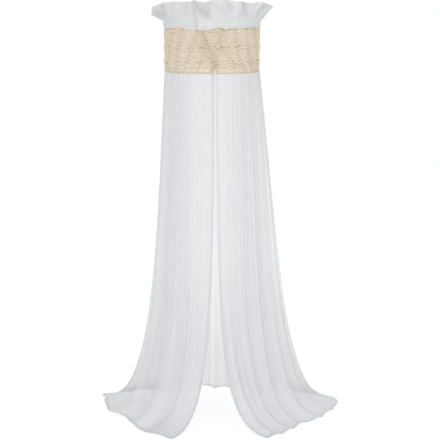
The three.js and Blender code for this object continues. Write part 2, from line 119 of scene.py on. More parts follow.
# %% The two halves
HALVES = {
    "left": dict(
        side=-1, edge_top=207, edge_hoop=203, edge_band=183, edge_floor=155.6,
        hem_wraps=[0, 44, 60, 69, 77, 90, 110, 131, 155.6],
        hem_shares=[0.4, 0.56, 0.8, 1.005, 0.93, 0.87, 0.725, 0.75, 0.745],
        fall_across_shares=[0.2, 0.2, 0.003], fall_forward_shares=[0.2, 0.16, 0.05],
        land_across_shares=[0.35, 0.22, 0.084], land_forward_shares=[0.35, 0.3, 0.17],
        rear_folds=4, front_folds=3, back_hem_rise=0.022, seed=3,
    ),
    "right": dict(
        side=1, edge_top=199.2, edge_hoop=194.5, edge_band=176, edge_floor=147,
        hem_wraps=[0, 44, 61, 71, 82, 90, 101, 119, 137, 147],
        hem_shares=[0.4, 0.56, 0.82, 1.005, 1.06, 1, 0.915, 0.79, 0.79, 0.79],
        fall_across_shares=[0.2, 0.315, 0.064], fall_forward_shares=[0.2, 0.28, 0.05],
        land_across_shares=[0.35, 0.28, -0.02], land_forward_shares=[0.35, 0.4, 0.17],
        rear_folds=4, front_folds=5, back_hem_rise=0.015, seed=11,
    ),
}
print("front edges at the hoop", {name: half["edge_hoop"] for name, half in HALVES.items()})

# %% [markdown]
# The cloth's helpers work on those shares and wraps: a soft step, a mix, values between stops, and
# a point about the hoop's axis. The drift is a ripple from a fixed seed, so each run gives the same
# cloth. Where the two front layers lie over each other, the outer one is lifted off the inner one.

# %% Shares and wraps
def smooth(start, end, value):
    share = np.clip((value - start) / (end - start), 0, 1)
    return share * share * (3 - 2 * share)


def mix(a, b, share):
    return a + (b - a) * share


def between(stops, values, place):
    """The value at a place between stops, level at each stop."""
    stops, values = np.asarray(stops, float), np.asarray(values, float)
    after = np.clip(np.searchsorted(stops, place), 1, len(stops) - 1)
    share = smooth(stops[after - 1], stops[after], place)
    return mix(values[after - 1], values[after], share)


def around(half, wrap, radius, height):
    """Points about the hoop's axis."""
    angle = np.radians(wrap)
    x = half["side"] * (radius * np.sin(angle) + SEAM_GAP / 2)
    y = ring_y + radius * np.cos(angle)
    return np.stack(np.broadcast_arrays(x, y, height), axis=-1)


def drape_share(along):
    """How far along its own drape a place lies: the rear one ends at the side of the crown."""
    return np.where(along > 0.5, 2 * along - 1, 2 * along)


def wrap_of(along, front_edge):
    """The wrap of a place on a drape whose front edge has a given wrap."""
    share = drape_share(along)
    return np.where(along > 0.5, mix(SIDE_WRAP, front_edge, share), SIDE_WRAP * share)


def fold_count(half, along):
    return np.where(along > 0.5, half["front_folds"], half["rear_folds"])


def layer_lift(half, wrap):
    """How far the outer, right layer stands off where the two front layers overlap."""
    return OVERLAP_LIFT * smooth(*OVERLAP_WRAPS, wrap) if half["side"] > 0 else 0 * wrap


def calm(half, wrap):
    """What is left of folds where the left layer lies under the right one."""
    under = smooth(*OVERLAP_WRAPS, wrap) if half["side"] < 0 else 0 * wrap
    return mix(1, UNDER_LAYER_SHARE, under)


def drift(seed, across, down, waves=6, reach=5):
    """A slow random ripple from -1 to 1, the same in every run."""
    draw = np.random.default_rng(seed)
    total = 0
    for _ in range(waves):
        a, d = draw.uniform(-reach, reach), draw.uniform(0.3, 1.6)
        phase = draw.uniform(0, 2 * np.pi)
        total = total + np.sin(2 * np.pi * (a * across + d * down) + phase)
    return total / waves


print("the right layer lifts off by", round(float(layer_lift(HALVES["right"], 180)), 4))

# %% [markdown]
# Cloth is a thin closed shell: a front and a back face, from half a millimetre to two apart, that
# are joined at the edges. It is built from a function that gives the point for each pair of shares,
# so a hem or a row of stitches can follow the same surface. The UV map is in metres of flat cloth,
# so a weave has its real pitch however the cloth is gathered.

# %% Cloth shells
NUDGE = 1e-4
RIM_ANGLE = math.radians(70)


def normals_of(surface, along, down):
    """Unit normals of a surface, from small steps along and down it."""
    step_along = surface(along + NUDGE, down) - surface(along - NUDGE, down)
    step_down = surface(along, down + NUDGE) - surface(along, down - NUDGE)
    normal = np.cross(step_along, step_down)
    return normal / np.linalg.norm(normal, axis=-1, keepdims=True)


def mesh_object(name, points, faces, edges=()):
    mesh = bpy.data.meshes.new(name)
    mesh.from_pydata(points, edges, faces)
    made = bpy.data.objects.new(name, mesh)
    bpy.context.scene.collection.objects.link(made)
    return made


def turn_outward(made):
    """Turns a closed mesh the right way round if it encloses less than nothing."""
    work = bmesh.new()
    work.from_mesh(made.data)
    if work.calc_volume(signed=True) < 0:
        bmesh.ops.reverse_faces(work, faces=work.faces)
    work.to_mesh(made.data)
    work.free()


def rim_walls(rim, count):
    """Faces that join the front and back of a shell along a closed loop of its points."""
    ahead = np.roll(rim, -1)
    return np.stack([rim, rim + count, ahead + count, ahead], -1)


def cloth_shell(name, surface, along, down, thickness, flat, cover, painted_shading=0, tunnel=False):
    """A thin closed shell over a grid of shares, with a UV map in metres of flat cloth. The cover
    is the share of the light that the cloth stops, and each of the shell's two faces stops its
    part. The painted shading is shade and light painted into the colour: up to 1 as painted shade
    deep in a wrinkle, below 0 as painted light on a ridge. A tunnel's last row meets its first one."""
    along, down = np.broadcast_arrays(along, down)
    rows, columns = along.shape
    points = surface(along, down)
    normal = normals_of(surface, along, down) * thickness / 2
    vertices = np.concatenate([(points + normal).reshape(-1, 3), (points - normal).reshape(-1, 3)])
    count = rows * columns
    index = np.arange(count).reshape(rows, columns)
    grown = np.concatenate([index, index[:1]]) if tunnel else index
    a, b, c, d = grown[:-1, :-1], grown[:-1, 1:], grown[1:, 1:], grown[1:, :-1]
    front = np.stack([a, b, c, d], -1).reshape(-1, 4)
    back = np.stack([a, d, c, b], -1).reshape(-1, 4) + count
    if tunnel:
        wall = np.concatenate([rim_walls(index[:, -1], count), rim_walls(index[::-1, 0], count)])
    else:
        rim = np.concatenate([index[0, :], index[1:, -1], index[-1, -2::-1], index[-2:0:-1, 0]])
        wall = rim_walls(rim, count)
    made = mesh_object(name, vertices.tolist(), np.concatenate([front, back, wall]).tolist())
    uv = np.stack([along * flat[0], (1 - down) * flat[1]], -1).reshape(-1, 2)
    corner = np.empty(len(made.data.loops), np.int32)
    made.data.loops.foreach_get("vertex_index", corner)
    layer = made.data.uv_layers.new(name="flat_cloth")
    layer.data.foreach_set("uv", uv[corner % count].astype(np.float32).ravel())
    # The second rule gives painted shade in wrinkles and painted light on ridges, kept as an
    # attribute
    stopped, depth = (
        np.broadcast_to(rule(along, down) if callable(rule) else rule, along.shape).ravel()
        for rule in (cover, painted_shading)
    )
    face_alpha = 1 - np.sqrt(1 - np.clip(stopped, 0, 0.995))
    for title, values in (("cover", face_alpha), ("painted_shading", depth)):
        attribute = made.data.attributes.new(title, "FLOAT", "POINT")
        attribute.data.foreach_set("value", np.tile(values, 2).astype(np.float32))
    turn_outward(made)
    made.data.set_sharp_from_angle(angle=RIM_ANGLE)
    return made


def grid(columns, rows):
    return np.meshgrid(np.linspace(0, 1, columns + 1), np.linspace(0, 1, rows + 1))


def print_size(made):
    """Prints how many faces a shell has, and the area of one side of it."""
    area = sum(face.area for face in made.data.polygons) / 2
    print(made.name, len(made.data.polygons), "faces,", round(area, 4), "m2")


# %% [markdown]
# The drape is a curve from the binding to the hem, swept round the hoop: it falls, bends near the
# floor and runs out along it. Broad folds grow on the way down and stand out from that plain
# surface. Over them lie the fine gathers, which are tight under the band and open out below.

# %% Drape surface
FOLD_HEIGHT = 0.015
FOLD_TOP_SHARE = 0.16  # of a fold's height, just under the band
FOLD_GROWN_SHARE = 0.7  # of the way down, where a fold has its full height
FOLD_LANDING_SHARE = 0.88  # of the way down, where a fold starts to flatten
FOLD_HEM_SHARE = 0.45  # of a fold's height that is left where it lies on the floor
CLOTH_THICKNESS = 0.0016
# Fine gathers: how many in a half, how high under the band and at the foot, and how much they drift
GATHERS = ((46, 0.0012, 0.0003, 1), (29, 0.0012, 0.0008, 2), (13, 0.0008, 0.0022, 3))
GATHERS_WANDER = 0.35  # how far aside one drift takes them, in gathers
GATHERS_CHANGE = (0.02, 0.75)  # shares of the way down, over which they change their height
SETTLING = (0.72, 0.95)  # shares of the way down, over which the tail's weight smooths the gathers
SETTLED_SHARE = 0.35
EDGE_SPAN = 1 / 12  # of the cloth's width, over which the gathers fade to its edges


def plain_drape(half):
    def surface(along, down):
        top_wrap = wrap_of(along, half["edge_band"])
        hem_wrap = wrap_of(along, half["edge_floor"])
        lift = layer_lift(half, top_wrap) * (1 - smooth(0, APART_SHARE, down))
        reach = CORNER_REACH * between(half["hem_wraps"], half["hem_shares"], hem_wrap)
        rise = half["back_hem_rise"] * (1 - smooth(0, BACK_HEM_WRAP, hem_wrap))
        floor = floor_z + CLOTH_THICKNESS + rise
        fall_height = floor + (DRAPE_TOP - floor_z - CLOTH_THICKNESS) * FALL_SHARE
        top = around(half, top_wrap, HOOP_RADIUS + lift, DRAPE_TOP)
        hem = around(half, hem_wrap, reach, floor)
        stops = [0, SIDE_WRAP, half["edge_band"]]

        def inner(across, forward, height):
            x = mix(top[..., 0], hem[..., 0], between(stops, across, top_wrap))
            y = mix(top[..., 1], hem[..., 1], between(stops, forward, top_wrap))
            return np.stack(np.broadcast_arrays(x, y, height), axis=-1)

        fall = inner(half["fall_across_shares"], half["fall_forward_shares"], fall_height)
        land = inner(half["land_across_shares"], half["land_forward_shares"], floor)
        t = down[..., None]
        upper = top * (1 - t) ** 3 + 3 * fall * (1 - t) ** 2 * t
        return upper + 3 * land * (1 - t) * t**2 + hem * t**3

    return surface


def drape_surface(half):
    plain = plain_drape(half)
    seed = half["seed"]

    def surface(along, down):
        edge = np.minimum(np.minimum(along, 1 - along) / EDGE_SPAN, 1)
        normal = normals_of(plain, along, down) * half["side"]
        wander = GATHERS_WANDER * drift(seed, along, down) * smooth(0.05, 0.6, down)
        wave = 0.5 - 0.5 * np.cos(2 * np.pi * fold_count(half, along) * drape_share(along))
        quiet = mix(calm(half, wrap_of(along, half["edge_band"])), 1, smooth(0, APART_SHARE, down))
        landed = mix(1, FOLD_HEM_SHARE, smooth(FOLD_LANDING_SHARE, 1, down))
        settled = mix(1, SETTLED_SHARE, smooth(*SETTLING, down))
        grown = mix(FOLD_TOP_SHARE, 1, smooth(0, FOLD_GROWN_SHARE, down))
        broad = FOLD_HEIGHT * wave * grown * landed * quiet
        fine = 0
        for count, top, foot, shift in GATHERS:
            amount = mix(top, foot, smooth(*GATHERS_CHANGE, down))
            phase = 2 * np.pi * (count * along + wander * shift)
            phase = phase + drift(seed + shift, along, down) * 2
            fine = fine + amount * (1 + 0.5 * drift(seed + 9 + shift, along, down)) * np.sin(phase)
        return plain(along, down) + normal * (broad + fine * edge * quiet * settled)[..., None]

    return surface


side_line = drape_surface(HALVES["left"])(np.full(200, 0.5), np.linspace(0, 1, 200))
side_length = np.linalg.norm(np.diff(side_line, axis=0), axis=-1).sum()
print("left drape, down its side:", round(float(side_length), 3), "m")

# %% [markdown]
# Each material, and the sky too, is a small tree of nodes. Three helpers keep the trees short: they
# set a node's inputs, to values or to other nodes' outputs, add a node, and add a step of maths.

# %% Node helpers
def new_material(name):
    material = bpy.data.materials.new(name)
    material.use_nodes = True
    tree = material.node_tree
    shader = tree.nodes["Principled BSDF"]
    return material, tree, shader


def give(tree, node, **values):
    """Sets a node's settings and inputs. An input goes by its name, or by its number as in _3, and
    takes a value or another node's output."""
    for key, value in values.items():
        if hasattr(node, key):
            setattr(node, key, value)
            continue
        socket = node.inputs[int(key[1:]) if key[0] == "_" else key.replace("_", " ")]
        if isinstance(value, bpy.types.NodeSocket):
            tree.links.new(value, socket)
        else:
            socket.default_value = value
    return node


def add(tree, kind, **values):
    return give(tree, tree.nodes.new(kind), **values)


def math_node(tree, operation, *operands):
    """A maths node; each operand is a number or another node's output."""
    given = {f"_{number}": value for number, value in enumerate(operands)}
    return add(tree, "ShaderNodeMath", operation=operation, **given).outputs[0]


# %% [markdown]
# Light comes next, because a finish can only be judged under it. A uniform sky, two large lamps in
# front and one behind show each colour about as it is written. The camera sees the sky as plain
# white, and so do reflections.

# %% Light
WHITE = (1, 1, 1, 1)
SKY_LIGHT = 0.78
KEY_POWER = 29
FILL_POWER = 21
BACK_POWER = 18


def light_the_scene():
    world = bpy.data.worlds.new("pale_sky")
    bpy.context.scene.world = world
    world.use_nodes = True
    tree = world.node_tree
    tree.nodes.clear()
    path = add(tree, "ShaderNodeLightPath").outputs
    seen = math_node(tree, "MAXIMUM", path["Is Camera Ray"], path["Is Glossy Ray"])
    through = math_node(tree, "MAXIMUM", seen, path["Is Transmission Ray"])
    strength = add(tree, "ShaderNodeMapRange", Value=through, To_Min=SKY_LIGHT, To_Max=1.0)
    sky = add(tree, "ShaderNodeBackground", Color=WHITE, Strength=strength.outputs[0])
    add(tree, "ShaderNodeOutputWorld", Surface=sky.outputs[0])
    for name, place, power, size in (
        ("key_lamp", (-1.5, -3.6, 0.6), KEY_POWER, 2.2),
        ("fill_lamp", (2.3, -3.0, 0.4), FILL_POWER, 2.4),
        ("back_lamp", (0.8, 2.8, 0.5), BACK_POWER, 2.4),
    ):
        lamp = bpy.data.lights.new(name, "AREA")
        lamp.energy, lamp.size = power, size
        made = bpy.data.objects.new(name, lamp)
        made.location = place
        aim = -made.location
        aim.z -= 0.5
        aim.y += ring_y
        made.rotation_euler = aim.to_track_quat("-Z", "Y").to_euler()
        made.visible_camera = False
        bpy.context.scene.collection.objects.link(made)


light_the_scene()

# %% [markdown]
# The tails lie on a plain pale floor. It glows for the camera alone, so it looks as white as the
# sky and still takes the soft shadow of the hem. It is stage, not a part of the canopy.

# %% Floor
FLOOR_SIZE = 14
FLOOR_COLOUR = 0.8
SEEN_FLOOR_COLOUR = 0.3
FLOOR_GLOW = 0.755  # with the light on it, as white as the sky that meets it


def lay_the_floor():
    half = FLOOR_SIZE / 2
    signs = ((-1, -1), (1, -1), (1, 1), (-1, 1))
    corners = [(half * x, half * y - 1.0, floor_z) for x, y in signs]
    floor = mesh_object("floor", corners, [(0, 1, 2, 3)])
    material, tree, shader = new_material("pale_floor")
    seen = add(tree, "ShaderNodeLightPath").outputs["Is Camera Ray"]
    grey = add(
        tree, "ShaderNodeMapRange", Value=seen, To_Min=FLOOR_COLOUR, To_Max=SEEN_FLOOR_COLOUR
    )
    glow = math_node(tree, "MULTIPLY", seen, FLOOR_GLOW)
    give(
        tree, shader, Roughness=0.9, Base_Color=grey.outputs[0], Emission_Color=WHITE,
        Emission_Strength=glow,
    )
    floor.data.materials.append(material)


lay_the_floor()
print("floor at", round(floor_z, 4), "m,", FLOOR_SIZE, "m wide")

# %% [markdown]
# Two effects are shared by the fabrics, so each is a node group with named inputs. One is the plain
# weave: threads that pass over and under each other, read off the flat cloth's UV map. The other is
# the slub, the long uneven streaks that real yarn leaves along the cloth.

# %% Weave and slub groups
CROSSING_LIFT = 0.3  # by which a thread rises where it passes over another


def new_group(name, inputs, outputs):
    group = bpy.data.node_groups.new(name, "ShaderNodeTree")
    for title, value in inputs.items():
        kind = "NodeSocketVector" if isinstance(value, tuple) else "NodeSocketFloat"
        socket = group.interface.new_socket(title, in_out="INPUT", socket_type=kind)
        socket.default_value = value
    for title in outputs:
        group.interface.new_socket(title, in_out="OUTPUT", socket_type="NodeSocketFloat")
    return group, group.nodes.new("NodeGroupInput"), group.nodes.new("NodeGroupOutput")


def weave_group():
    group, given, gives = new_group(
        "plain_weave", {"Place": (0.0, 0.0, 0.0), "Pitch": 0.001}, ["Height", "Gap"]
    )
    axes = add(group, "ShaderNodeSeparateXYZ", Vector=given.outputs["Place"])
    waves = []
    for axis in ("X", "Y"):
        turns = math_node(group, "DIVIDE", axes.outputs[axis], given.outputs["Pitch"])
        waves.append(math_node(group, "SINE", math_node(group, "MULTIPLY", turns, math.pi)))
    warp, weft = (math_node(group, "ABSOLUTE", wave) for wave in waves)
    lifted = math_node(group, "MULTIPLY", math_node(group, "MULTIPLY", *waves), CROSSING_LIFT)
    warp_height = math_node(group, "ADD", warp, lifted)
    weft_height = math_node(group, "SUBTRACT", weft, lifted)
    height = math_node(group, "MAXIMUM", warp_height, weft_height)
    gap = math_node(group, "SUBTRACT", 1, math_node(group, "MAXIMUM", warp, weft))
    give(group, gives, Height=height, Gap=gap)
    return group


def slub_group():
    group, given, gives = new_group(
        "slub", {"Place": (0.0, 0.0, 0.0), "Across": 260.0, "Along": 5.0}, ["Streak"]
    )
    axes = add(group, "ShaderNodeSeparateXYZ", Vector=given.outputs["Place"])
    stretched = add(
        group, "ShaderNodeCombineXYZ",
        X=math_node(group, "MULTIPLY", axes.outputs["X"], given.outputs["Across"]),
        Y=math_node(group, "MULTIPLY", axes.outputs["Y"], given.outputs["Along"]),
    )
    noise = add(
        group, "ShaderNodeTexNoise", Vector=stretched.outputs[0], Scale=1.0, Detail=3.0,
        Roughness=0.6,
    )
    give(group, gives, Streak=noise.outputs["Fac"])
    return group


def two_tones(tree, light, dark, share):
    """A colour between two, by a share that another node gives."""
    tone = add(tree, "ShaderNodeMix", data_type="RGBA", _0=share, _6=(*light, 1), _7=(*dark, 1))
    return tone.outputs[2]


WEAVE = weave_group()
SLUB = slub_group()
print("node groups", [g.name for g in bpy.data.node_groups])

# %% [markdown]
# Every fabric is a Principled surface whose colour, cover and relief come from the weave and the
# slub. Its colour also holds painted shade in the weave's low places, and the painted shading of
# each mesh: painted shade in wrinkles and painted light on ridges. Sheer cloth lets the light
# through between its threads, and at this distance that is an alpha. The cover attribute of each
# mesh tells how much of the light is stopped there.

# %% Fabric materials
STREAK_SHADE, WEAVE_SHADE = 0.4, 0.3  # how much of the shade tone the slub's uneven yarn brings, and the painted shade of the weave's low places
GAP_SHARE, THREAD_SHARE = 0.25, 1.06  # of the cover: less at the weave's gaps, more on its threads


def fabric(name, colour, shade, pitch=0.0011, relief=0.0002, across=260.0, uneven=0.35):
    """The colour and shade are the threads' light and dark tones, and uneven is how much the slub
    changes the cover."""
    material, tree, shader = new_material(name)
    place = add(tree, "ShaderNodeUVMap", uv_map="flat_cloth").outputs[0]
    weave = add(tree, "ShaderNodeGroup", node_tree=WEAVE, Place=place, Pitch=pitch).outputs
    slub = add(tree, "ShaderNodeGroup", node_tree=SLUB, Place=place, Across=across).outputs[0]
    painted_shading = add(tree, "ShaderNodeAttribute", attribute_name="painted_shading").outputs["Fac"]
    cover = add(tree, "ShaderNodeAttribute", attribute_name="cover").outputs["Fac"]
    streak = math_node(tree, "MULTIPLY", slub, STREAK_SHADE)
    sunk = math_node(tree, "SUBTRACT", 1, weave["Height"])
    depth = math_node(tree, "MULTIPLY", sunk, WEAVE_SHADE)
    # The dark share of the colour: the slub's uneven yarn, painted shade in the weave's low places,
    # and the mesh's painted shade in wrinkles and painted light on ridges
    streak_and_painted_shading = math_node(tree, "ADD", math_node(tree, "ADD", streak, depth), painted_shading)
    opening = math_node(tree, "MULTIPLY", weave["Gap"], GAP_SHARE)
    wander = math_node(tree, "MULTIPLY", math_node(tree, "SUBTRACT", slub, 0.5), uneven)
    share = math_node(tree, "ADD", math_node(tree, "SUBTRACT", THREAD_SHARE, opening), wander)
    bump = add(tree, "ShaderNodeBump", Strength=0.5, Distance=relief, Height=weave["Height"])
    give(
        tree, shader, Base_Color=two_tones(tree, colour, shade, streak_and_painted_shading),
        Alpha=math_node(tree, "MULTIPLY", cover, share), Normal=bump.outputs[0], Roughness=0.9,
        Specular_IOR_Level=0.2, Sheen_Weight=0.08, Sheen_Roughness=0.5,
    )
    return material


VOILE = fabric("white_voile", (0.825, 0.838, 0.860), (0.725, 0.742, 0.77), across=150.0, uneven=0.2)
HEADING = fabric("doubled_voile", (0.905, 0.91, 0.92), (0.645, 0.655, 0.67), uneven=0.1)
HEM = fabric("voile_hem", (0.84, 0.85, 0.872), (0.74, 0.755, 0.78), uneven=0.15)
CRINKLE = fabric("beige_crinkle", (0.92, 0.83, 0.69), (0.63, 0.51, 0.37), pitch=0.0009, across=60.0)
TAPE = fabric("tan_tape", (0.78, 0.68, 0.54), (0.62, 0.51, 0.38), pitch=0.0007, uneven=0.05)
print("fabrics", [m.name for m in (VOILE, HEADING, HEM, CRINKLE, TAPE)])

# %% [markdown]
# The bracket is enamelled steel, its block a fine matt moulding, and the hoop and screws are bright
# zinc plate. A speckle group gives each its own small unevenness on the object's coordinates.

# %% Hard finishes
def speckle_group():
    group, given, gives = new_group("speckle", {"Place": (0.0, 0.0, 0.0), "Size": 0.002}, ["Grain"])
    size = given.outputs["Size"]
    sizes = add(group, "ShaderNodeCombineXYZ", X=size, Y=size, Z=size).outputs[0]
    place = add(
        group, "ShaderNodeVectorMath", operation="DIVIDE", _0=given.outputs["Place"], _1=sizes
    )
    noise = add(
        group, "ShaderNodeTexNoise", Vector=place.outputs[0], Scale=1.0, Detail=4.0, Roughness=0.55
    )
    give(group, gives, Grain=noise.outputs["Fac"])
    return group


SPECKLE = speckle_group()


def hard_finish(name, colour, shade, size, relief, roughness, **gloss):
    """A speckled finish: the speckles' size and relief in metres, and any more shader inputs."""
    material, tree, shader = new_material(name)
    place = add(tree, "ShaderNodeTexCoord").outputs["Object"]
    grain = add(tree, "ShaderNodeGroup", node_tree=SPECKLE, Place=place, Size=size).outputs[0]
    rough = add(
        tree, "ShaderNodeMapRange", Value=grain, To_Min=roughness * 0.8, To_Max=roughness * 1.2
    )
    bump = add(tree, "ShaderNodeBump", Strength=0.4, Distance=relief, Height=grain)
    give(
        tree, shader, Base_Color=two_tones(tree, colour, shade, grain), Roughness=rough.outputs[0],
        Normal=bump.outputs[0], **gloss,
    )
    print(name, len(tree.nodes), "nodes")
    return material


ENAMEL = hard_finish(
    "white_enamel", (0.86, 0.86, 0.84), (0.80, 0.80, 0.78), 0.0012, 0.00004, 0.35, Coat_Weight=0.3
)
MOULDING = hard_finish(
    "matt_moulding", (0.80, 0.80, 0.77), (0.72, 0.72, 0.69), 0.0005, 0.00006, 0.55
)
ZINC = hard_finish(
    "zinc_plate", (0.60, 0.62, 0.64), (0.48, 0.50, 0.52), 0.0007, 0.00002, 0.32, Metallic=1.0
)

# %% [markdown]
# The drapes: fine columns and rows over the surface above. Gathers are denser over the sides of the
# front than at the middle, and the outermost cloth spreads sheer, so the cover changes along the
# cloth from a few listed stops, and grows towards the floor, where folds lie together.

# %% Drapes
DRAPE_COLUMNS, DRAPE_ROWS = 340, 130
SHELL = 0.0005
FLAT_WIDTH = 0.88  # the mean of a flared panel, 0.76 m at the band and 1.00 m at the hem
FLAT_LENGTH = 1.30
COVERS = {
    "left": dict(
        stops=[0, 0.3, 0.48, 0.54, 0.60, 0.72, 0.82, 0.87, 1],
        below_band=[0.34, 0.34, 0.30, 0.40, 0.72, 0.88, 0.86, 0.56, 0.56],
        near_floor=[0.44, 0.52, 0.50, 0.54, 0.72, 0.80, 0.93, 0.96, 0.95],
    ),
    "right": dict(
        stops=[0, 0.3, 0.48, 0.56, 0.62, 0.70, 0.80, 0.86, 0.92, 1],
        below_band=[0.34, 0.34, 0.30, 0.38, 0.62, 0.80, 0.82, 0.76, 0.54, 0.54],
        near_floor=[0.44, 0.52, 0.50, 0.60, 0.88, 0.95, 0.95, 0.94, 0.91, 0.89],
    ),
}
TAIL_COVER = 0.93  # where the tail's layers lie on the floor
STRIPE_COVER = 0.05  # how much the cover varies from stripe to stripe
FLANK_COVER = 0.08  # how much closer the cloth looks on a fold's flanks, seen at a slant
LEAST_COVER, MOST_COVER = 0.1, 0.97
COVER_GROWS = (0.12, 0.75)  # shares of the way down, from the first row of covers to the second
TAIL_STARTS = (0.66, 0.82)  # shares of the way down, over which the tail's cover comes in
REAR_TAIL_LAG = 0.09  # of the way down, by which it comes in later behind
TAIL_PAINTED_SHADING_STARTS = (0.70, 0.95)
# The two places along the cloth between which each tail's painted shading changes, and its amount
# on each side: above 0 painted shade, below 0 painted light
TAIL_PAINTED_SHADING = {"left": (0.76, 0.88, -0.3, 0.9), "right": (0.60, 0.80, 0.0, 0.3)}


def cover_of(name):
    table = COVERS[name]
    half = HALVES[name]

    def cover(along, down):
        high = between(table["stops"], table["below_band"], along)
        low = between(table["stops"], table["near_floor"], along)
        flank = np.abs(np.sin(4 * np.pi * fold_count(half, along) * along))
        stripes = STRIPE_COVER * drift(half["seed"] + 40, along, down * 0.4, waves=9, reach=40)
        grown = smooth(*COVER_GROWS, down)
        behind = 1 - smooth(0.42, 0.55, along)
        tail = smooth(*TAIL_STARTS, down - REAR_TAIL_LAG * behind) * smooth(0.1, 0.3, along)
        layer = mix(high, low, grown) + stripes + FLANK_COVER * grown * (flank - 0.5)
        return np.clip(mix(layer, TAIL_COVER, tail), LEAST_COVER, MOST_COVER)

    return cover


def blend_front(made):
    """Bakes the piece's placement into its mesh."""
    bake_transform(made)


def tail_painted_shading(name):
    """Painted shade where the tail's fine folds lie close together, and painted light on the rest
    of the left tail.
    """
    start, end, outside, inside = TAIL_PAINTED_SHADING[name]

    def painted_shading(along, down):
        return smooth(*TAIL_PAINTED_SHADING_STARTS, down) * mix(outside, inside, smooth(start, end, along))

    return painted_shading


flat = (FLAT_WIDTH, FLAT_LENGTH)
for name, half in HALVES.items():
    made = cloth_shell(
        f"drape_{name}", drape_surface(half), *grid(DRAPE_COLUMNS, DRAPE_ROWS), SHELL, flat,
        cover_of(name), tail_painted_shading(name),
    )
    made.data.materials.append(VOILE)
    print_size(made)
    blend_front(made)
    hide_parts(f"rear_drape_{name}", f"front_drape_{name}")

# %% [markdown]
# Hems: the front edge and the foot are turned over twice and sewn, so a narrow strip there is three
# layers thick. Each is a thicker shell over the last few millimetres of the same surface.

# %% Hems
EDGE_HEM = 0.009
FOOT_HEM = 0.011
HEM_SHELL = 0.0014
EDGE_HEM_COVER = 0.5
REAR_HEM_COVER, FRONT_HEM_COVER = 0.30, 0.48
STEP = 0.002  # a small share, to measure how far apart the shares lie


def foot_hem_cover(along, down):
    """The hem is drawn thinner at the back, where the drape hangs in a single layer."""
    return mix(REAR_HEM_COVER, FRONT_HEM_COVER, smooth(0.3, 0.5, along))


def edge_strip(half, width, rows):
    """Shares of a strip of constant width beside the front edge."""
    surface = drape_surface(half)
    down = np.linspace(0, 1, rows + 1)[:, None]
    one = np.ones_like(down)
    rate = np.linalg.norm(surface(one - STEP, down) - surface(one, down), axis=-1) / STEP
    return 1 - (width / rate) * np.linspace(1, 0, 5)[None, :], down


def foot_strip(half, width, columns):
    """Shares of a strip of constant width beside the foot, measured along the cloth."""
    along = np.linspace(0, 1, columns + 1)
    down = 1 - np.linspace(0, 0.6, 300)
    points = drape_surface(half)(*np.meshgrid(along, down))
    steps = np.linalg.norm(np.diff(points, axis=0), axis=-1)
    length = np.concatenate([np.zeros((1, columns + 1)), np.cumsum(steps, axis=0)])
    offsets = np.linspace(width, 0, 6)
    shares = np.stack([np.interp(offsets, column, down) for column in length.T], axis=1)
    return np.broadcast_to(along, shares.shape), shares


for name, half in HALVES.items():
    surface = drape_surface(half)
    strip = edge_strip(half, EDGE_HEM, 260)
    edge = cloth_shell(f"front_hem_{name}", surface, *strip, HEM_SHELL, flat, EDGE_HEM_COVER)
    strip = foot_strip(half, FOOT_HEM, 360)
    foot = cloth_shell(f"foot_hem_{name}", surface, *strip, HEM_SHELL, flat, foot_hem_cover)
    for made in (edge, foot):
        made.data.materials.append(HEM)
        blend_front(made)
        print_size(made)

# %% [markdown]
# The frill is the folded heading above the hoop. Its lobes follow no rule, so a table gives them.
# Stops round each rim say how far it leans out, how high it stands, how much it curls before it
# falls over and how far a fold slants. A second table gives the uneven lip below the casing.

# %% Frill rims
RIMS = {
    "left": dict(
        wraps=[
            0, 14, 28, 42, 56, 70, 84, 92, 98, 108, 116, 124, 132, 143, 151, 162, 175, 190, 207,
        ],
        outs=[
            0.55, 0.81, 0.51, 0.85, 0.51, 0.74, 0.85, 0.95, 0.94, 0.86,
            0.66, 0.63, 0.43, 0.7, 0.32, 0.38, 0.09, 0.09, 0.09,
        ],
        rises=[
            0.87, 0.79, 0.9, 0.81, 0.88, 0.74, 0.44, 0.33, 0.58, 0.7,
            0.79, 0.87, 0.87, 0.91, 0.88, 0.92, 0.85, 0.81, 0.79,
        ],
        curls=[
            0.03, 0.08, 0.03, 0.08, 0.03, 0.1, 0.06, 0.05, 0.16, 0.2,
            0.1, 0.04, 0.03, 0.03, 0.01, 0, 0, 0, 0,
        ],
        leans=[0] * 19,
    ),
    "right": dict(
        wraps=[
            0, 14, 28, 42, 56, 68, 82, 96, 108, 118, 127, 138, 148, 159, 169, 178, 187, 194, 200,
        ],
        outs=[
            0.55, 0.81, 0.51, 0.85, 0.51, 0.77, 0.81, 0.94, 0.77, 0.53,
            0.79, 0.51, 0.26, 0.62, 0.6, 0.47, 0.09, 0.26, 0.43,
        ],
        rises=[
            0.87, 0.79, 0.9, 0.81, 0.88, 0.82, 0.74, 0.65, 0.79, 0.87,
            0.84, 0.83, 0.84, 0.9, 0.97, 0.99, 0.87, 0.91, 1,
        ],
        curls=[
            0.03, 0.08, 0.03, 0.08, 0.03, 0.06, 0.08, 0.08, 0.05, 0.03,
            0.05, 0.03, 0.01, 0.01, 0, 0, 0, 0, 0,
        ],
        leans=[0, 0, 0, 0, 0, 0, 0, 0, 2, 4, 8, 9, 8, 3, 0, 0, 0, 0, 0],
    ),
}
# How far the lip under the casing hangs below the hoop, in millimetres, at some wraps
LIPS = {
    "left": ([0, 60, 95, 106, 118, 131, 141, 150, 163, 207], [9, 9, 13, 15, 14, 9, 9, 14, 17, 16]),
    "right": (
        [0, 60, 92, 100, 112, 124, 138, 155, 175, 184, 193, 200],
        [9, 9, 14, 13, 8, 8, 9, 9, 10, 16, 17, 16],
    ),
}
print("rim stops", {name: len(rim["wraps"]) for name, rim in RIMS.items()})
